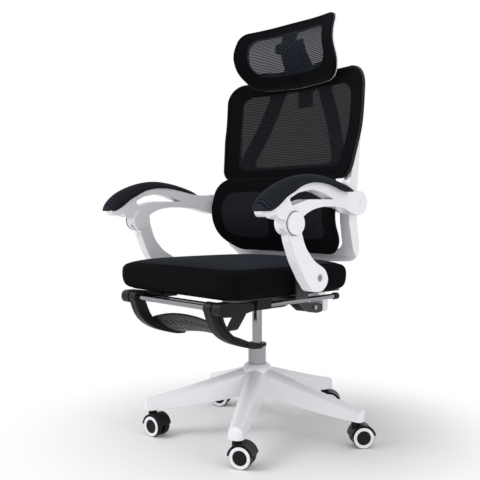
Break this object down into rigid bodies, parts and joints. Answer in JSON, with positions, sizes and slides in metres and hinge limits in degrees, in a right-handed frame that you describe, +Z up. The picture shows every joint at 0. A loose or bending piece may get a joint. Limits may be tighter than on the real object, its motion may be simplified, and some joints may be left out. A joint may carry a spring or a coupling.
{
  "type": "reclining office chair with footrest",
  "caption": "Wheeled office chair with a mesh back that reclines, a tilting headrest, linked armrests and a footrest that slides out from under the seat and flips over.",
  "frame": {"origin": "floor point under the axis of the gas lift", "axes": "+Z up, the sitter faces -Y, +X is the sitter's left"},
  "size_m": [0.688, 0.6717, 1.1812],
  "materials": {
    "white_plastic": "smooth glossy moulding",
    "black_plastic": "fine satin moulding",
    "grey_steel": "satin grey enamel",
    "black_steel": "black powder coat",
    "brown_steel": "dark brown powder coat",
    "chromed_steel": "polished chrome",
    "zinc_steel": "zinc plated",
    "black_knit": "finely ribbed knit over foam",
    "black_mesh": "open knitted mesh"
  },
  "bodies": {
    "base": {"base_star": "white_plastic", "column": "grey_steel", "column_collar": "black_plastic", "caster_stems": "zinc_steel"},
    "piston": {"piston_tube": "chromed_steel"},
    "valve": {"valve_button": "zinc_steel"},
    "seat": {"mechanism_housing": "black_steel", "seat_plate": "black_steel", "seat_cushion": "black_knit", "arm_brackets": "black_steel", "leg_bolts": "zinc_steel", "rail_guides": "black_plastic", "back_axle": "zinc_steel"},
    "cam": {"lever_cam": "zinc_steel"},
    "lever": {"lever_rod": "zinc_steel", "lever_paddle": "black_plastic"},
    "rails": {"rails": "chromed_steel", "rail_end_caps": "black_plastic", "rail_connectors": "black_plastic", "cross_bars": "chromed_steel"},
    "footrest": {"footrest_frame": "black_plastic", "footrest_pad": "black_plastic"},
    "back": {"back_bracket": "brown_steel", "back_frame": "white_plastic", "back_rim": "black_plastic", "back_mesh": "black_mesh", "lumbar_frame": "black_plastic", "lumbar_pad": "black_knit", "back_bolts": "zinc_steel"},
    "post": {"headrest_post": "black_plastic"},
    "headrest": {"headrest_hub": "black_plastic", "headrest_rim": "black_plastic", "headrest_mesh": "black_mesh", "headrest_frame": "white_plastic"},
    "leg_l": {"leg_left": "white_plastic"},
    "leg_r": {"leg_right": "white_plastic"},
    "arm_l": {"arm_left": "white_plastic", "arm_pad_left": "black_knit"},
    "arm_r": {"arm_right": "white_plastic", "arm_pad_right": "black_knit"},
    "caster_1": {"caster_1_hood": "black_plastic"},
    "caster_1_roll": {"caster_1_wheels": "black_plastic", "caster_1_rings": "white_plastic"},
    "caster_2": {"caster_2_hood": "black_plastic"},
    "caster_2_roll": {"caster_2_wheels": "black_plastic", "caster_2_rings": "white_plastic"},
    "caster_3": {"caster_3_hood": "black_plastic"},
    "caster_3_roll": {"caster_3_wheels": "black_plastic", "caster_3_rings": "white_plastic"},
    "caster_4": {"caster_4_hood": "black_plastic"},
    "caster_4_roll": {"caster_4_wheels": "black_plastic", "caster_4_rings": "white_plastic"},
    "caster_5": {"caster_5_hood": "black_plastic"},
    "caster_5_roll": {"caster_5_wheels": "black_plastic", "caster_5_rings": "white_plastic"}
  },
  "joints": [
    {"name": "lift", "type": "slide", "parent": "base", "child": "piston", "axis": [0, 0, 1], "range_m": [-0.07, 0]},
    {"name": "swivel", "type": "hinge", "parent": "piston", "child": "seat", "pos_m": [0, 0, 0.36], "axis": [0, 0, 1], "continuous": true},
    {"name": "valve_press", "type": "slide", "parent": "piston", "child": "valve", "axis": [0, 0, -1], "range_m": [0, 0.004]},
    {"name": "cam_turn", "type": "hinge", "parent": "seat", "child": "cam", "pos_m": [-0.034, 0, 0.386], "axis": [0, 1, 0], "range_deg": [0, 5]},
    {"name": "lever_pull", "type": "slide", "parent": "cam", "child": "lever", "axis": [-1, 0, 0], "range_m": [0, 0.01]},
    {"name": "footrest_slide", "type": "slide", "parent": "seat", "child": "rails", "axis": [0, -1, 0], "range_m": [0, 0.25]},
    {"name": "footrest_flip", "type": "hinge", "parent": "rails", "child": "footrest", "pos_m": [0, -0.306, 0.395], "axis": [-1, 0, 0], "range_deg": [0, 138]},
    {"name": "recline", "type": "hinge", "parent": "seat", "child": "back", "pos_m": [0, 0.1, 0.398], "axis": [-1, 0, 0], "range_deg": [0, 32]},
    {"name": "post_slide", "type": "slide", "parent": "back", "child": "post", "axis": [0, 0, 1], "range_m": [0, 0.05]},
    {"name": "headrest_tilt", "type": "hinge", "parent": "post", "child": "headrest", "pos_m": [0, 0.158, 1.108], "axis": [-1, 0, 0], "range_deg": [-2, 30]},
    {"name": "leg_turn_l", "type": "hinge", "parent": "seat", "child": "leg_l", "pos_m": [0.302, -0.098, 0.466], "axis": [-1, 0, 0], "range_deg": [0, 48.8]},
    {"name": "arm_turn_l", "type": "hinge", "parent": "leg_l", "child": "arm_l", "pos_m": [0.304, -0.195, 0.6], "axis": [1, 0, 0], "range_deg": [0, 36.7]},
    {"name": "leg_turn_r", "type": "hinge", "parent": "seat", "child": "leg_r", "pos_m": [-0.302, -0.098, 0.466], "axis": [-1, 0, 0], "range_deg": [0, 48.8]},
    {"name": "arm_turn_r", "type": "hinge", "parent": "leg_r", "child": "arm_r", "pos_m": [-0.304, -0.195, 0.6], "axis": [1, 0, 0], "range_deg": [0, 36.7]},
    {"name": "caster_1_swivel", "type": "hinge", "parent": "base", "child": "caster_1", "pos_m": [0.28246, 0.09178, 0.06], "axis": [0, 0, 1], "continuous": true},
    {"name": "caster_1_roll", "type": "hinge", "parent": "caster_1", "child": "caster_1_roll", "pos_m": [0.29187, 0.10472, 0.029], "axis": [-0.809, 0.5878, 0], "continuous": true},
    {"name": "caster_2_swivel", "type": "hinge", "parent": "base", "child": "caster_2", "pos_m": [0.17457, -0.24028, 0.06], "axis": [0, 0, 1], "continuous": true},
    {"name": "caster_2_roll", "type": "hinge", "parent": "caster_2", "child": "caster_2_roll", "pos_m": [0.18883, -0.23301, 0.029], "axis": [-0.454, 0.891, 0], "continuous": true},
    {"name": "caster_3_swivel", "type": "hinge", "parent": "base", "child": "caster_3", "pos_m": [-0.17457, -0.24028, 0.06], "axis": [0, 0, 1], "continuous": true},
    {"name": "caster_3_roll", "type": "hinge", "parent": "caster_3", "child": "caster_3_roll", "pos_m": [-0.15873, -0.23805, 0.029], "axis": [-0.1392, 0.9903, 0], "continuous": true},
    {"name": "caster_4_swivel", "type": "hinge", "parent": "base", "child": "caster_4", "pos_m": [0, 0.297, 0.06], "axis": [0, 0, 1], "continuous": true},
    {"name": "caster_4_roll", "type": "hinge", "parent": "caster_4", "child": "caster_4_roll", "pos_m": [0.01226, 0.30728, 0.029], "axis": [-0.6428, 0.766, 0], "continuous": true},
    {"name": "caster_5_swivel", "type": "hinge", "parent": "base", "child": "caster_5", "pos_m": [-0.28246, 0.09178, 0.06], "axis": [0, 0, 1], "continuous": true},
    {"name": "caster_5_roll", "type": "hinge", "parent": "caster_5", "child": "caster_5_roll", "pos_m": [-0.26861, 0.09978, 0.029], "axis": [-0.5, 0.866, 0], "continuous": true}
  ],
  "couplings": [
    {"joint": "valve_press", "follows": "cam_turn", "m_per_rad": 0.041},
    {"joint": "leg_turn_l", "follows": "recline", "ratio": 1.5212},
    {"joint": "arm_turn_l", "follows": "recline", "ratio": 1.1418},
    {"joint": "leg_turn_r", "follows": "recline", "ratio": 1.5212},
    {"joint": "arm_turn_r", "follows": "recline", "ratio": 1.1418}
  ]
}
